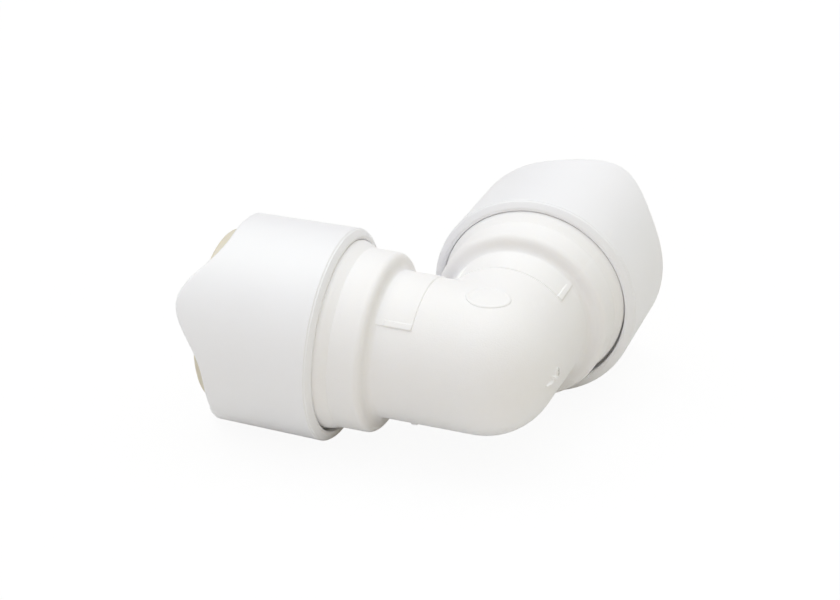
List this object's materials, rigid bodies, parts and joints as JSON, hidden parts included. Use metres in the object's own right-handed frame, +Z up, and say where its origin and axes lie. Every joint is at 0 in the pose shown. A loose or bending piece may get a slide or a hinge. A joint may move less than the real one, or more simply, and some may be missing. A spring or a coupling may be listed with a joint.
{
  "type": "push-fit pipe elbow",
  "caption": "Right-angle push-fit pipe elbow in white plastic, with wavy clip-on end caps, cream release collets, steel grip teeth and rubber seals.",
  "frame": {"origin": "under the middle of the bounding box, at the level of the table the two caps rest on; the two socket axes cross at x 12.265, y -12.265, z 14.26 mm", "axes": "+Z up, square to the plane of the two socket axes; socket A opens towards -X and socket B towards +Y"},
  "size_m": [0.053, 0.053, 0.0285],
  "materials": {
    "body_plastic": "fine matte texture, warm white",
    "cap_plastic": "smooth satin, cool white",
    "collet_acetal": "smooth, cream",
    "tooth_steel": "stamped spring steel",
    "seal_rubber": "smooth black rubber with a film of grease",
    "spacer_plastic": "plain moulded"
  },
  "bodies": {
    "fitting_body": {"body": "body_plastic", "o_ring_a": "seal_rubber", "o_ring_b": "seal_rubber", "spacer_washer_a": "spacer_plastic", "spacer_washer_b": "spacer_plastic"},
    "cap_a": {"cap_a": "cap_plastic"},
    "collet_a": {"release_collet_a": "collet_acetal", "grip_tooth_a1": "tooth_steel", "grip_tooth_a2": "tooth_steel", "grip_tooth_a3": "tooth_steel", "grip_tooth_a4": "tooth_steel", "grip_tooth_a5": "tooth_steel", "grip_tooth_a6": "tooth_steel"},
    "cap_b": {"cap_b": "cap_plastic"},
    "collet_b": {"release_collet_b": "collet_acetal", "grip_tooth_b1": "tooth_steel", "grip_tooth_b2": "tooth_steel", "grip_tooth_b3": "tooth_steel", "grip_tooth_b4": "tooth_steel", "grip_tooth_b5": "tooth_steel", "grip_tooth_b6": "tooth_steel"}
  },
  "joints": [
    {"name": "cap_a_spin", "type": "hinge", "parent": "fitting_body", "child": "cap_a", "pos_m": [-0.01473, -0.01226, 0.01426], "axis": [-1, 0, 0], "continuous": true},
    {"name": "collet_a_press", "type": "slide", "parent": "cap_a", "child": "collet_a", "axis": [1, 0, 0], "range_m": [0, 0.002]},
    {"name": "cap_b_spin", "type": "hinge", "parent": "fitting_body", "child": "cap_b", "pos_m": [0.01226, 0.01473, 0.01426], "axis": [0, 1, 0], "continuous": true},
    {"name": "collet_b_press", "type": "slide", "parent": "cap_b", "child": "collet_b", "axis": [0, -1, 0], "range_m": [0, 0.002]}
  ]
}
